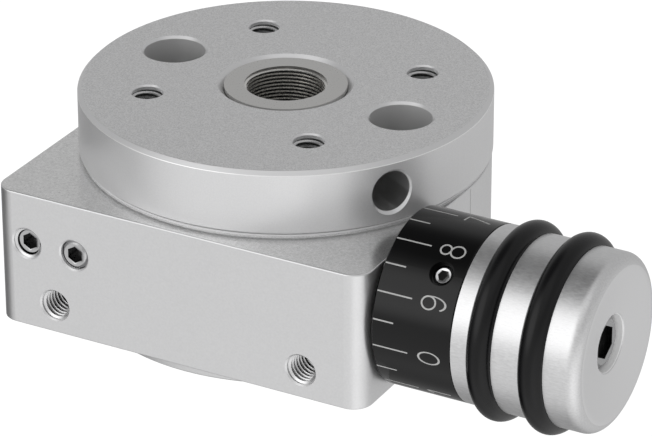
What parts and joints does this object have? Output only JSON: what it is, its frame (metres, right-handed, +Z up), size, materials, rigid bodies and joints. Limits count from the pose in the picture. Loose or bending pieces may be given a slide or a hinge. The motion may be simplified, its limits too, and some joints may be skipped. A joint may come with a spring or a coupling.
{
  "type": "rotary positioning table",
  "caption": "Round drilled table on a flat-fronted housing, turned by a worm whose side knob carries a black numbered scale ring and rubber grip rings.",
  "frame": {"origin": "centre of the mounting face under the base flange, on the table's axis", "axes": "+Z up along the table's axis, +X along the worm shaft towards the knob, -Y out of the flat front face"},
  "size_m": [0.1223, 0.0829, 0.0443],
  "materials": {
    "housing_aluminium": "satin anodised, clear",
    "table_aluminium": "turned, clear anodised",
    "knob_aluminium": "turned, clear anodised",
    "flange_aluminium": "satin anodised, clear",
    "scale_black": "black anodised",
    "spindle_steel": "turned",
    "bearing_steel": "ground",
    "plain_steel": "turned",
    "screw_steel": "stainless",
    "black_screw": "blackened",
    "worm_steel": "ground",
    "wheel_bronze": "machined bronze",
    "pad_brass": "turned",
    "ring_rubber": "smooth black"
  },
  "bodies": {
    "housing_body": {"housing": "housing_aluminium", "base_flange": "flange_aluminium", "base_flange_screws": "screw_steel", "worm_sleeve": "plain_steel", "sleeve_grub_screws": "screw_steel", "sleeve_pad": "pad_brass", "upper_bearing_outer": "bearing_steel", "lower_bearing_outer": "bearing_steel", "worm_bearing_inboard_outer": "bearing_steel", "worm_bearing_outboard_outer": "bearing_steel", "worm_retainer": "plain_steel"},
    "table_body": {"table_disc": "table_aluminium", "spindle": "spindle_steel", "spindle_screws": "screw_steel", "upper_bearing_inner": "bearing_steel", "lower_bearing_inner": "bearing_steel", "worm_wheel": "wheel_bronze", "wheel_key": "plain_steel", "lock_nut": "plain_steel"},
    "worm_body": {"worm_shaft": "worm_steel", "worm_bearing_inboard_inner": "bearing_steel", "worm_bearing_outboard_inner": "bearing_steel", "knob": "knob_aluminium", "hub_set_screw": "screw_steel", "rubber_ring_inboard": "ring_rubber", "rubber_ring_outboard": "ring_rubber", "knob_screw": "screw_steel"},
    "scale_body": {"scale_ring": "scale_black", "scale_grub_screw": "screw_steel", "scale_pad": "pad_brass"}
  },
  "joints": [
    {"name": "table_turn", "type": "hinge", "parent": "housing_body", "child": "table_body", "pos_m": [0, 0, 0], "axis": [0, 0, 1], "continuous": true},
    {"name": "knob_turn", "type": "hinge", "parent": "housing_body", "child": "worm_body", "pos_m": [0, -0.024, 0.0195], "axis": [1, 0, 0], "continuous": true},
    {"name": "scale_zero", "type": "hinge", "parent": "worm_body", "child": "scale_body", "pos_m": [0, -0.024, 0.0195], "axis": [1, 0, 0], "continuous": true}
  ],
  "couplings": [
    {"joint": "knob_turn", "follows": "table_turn", "ratio": -36}
  ]
}
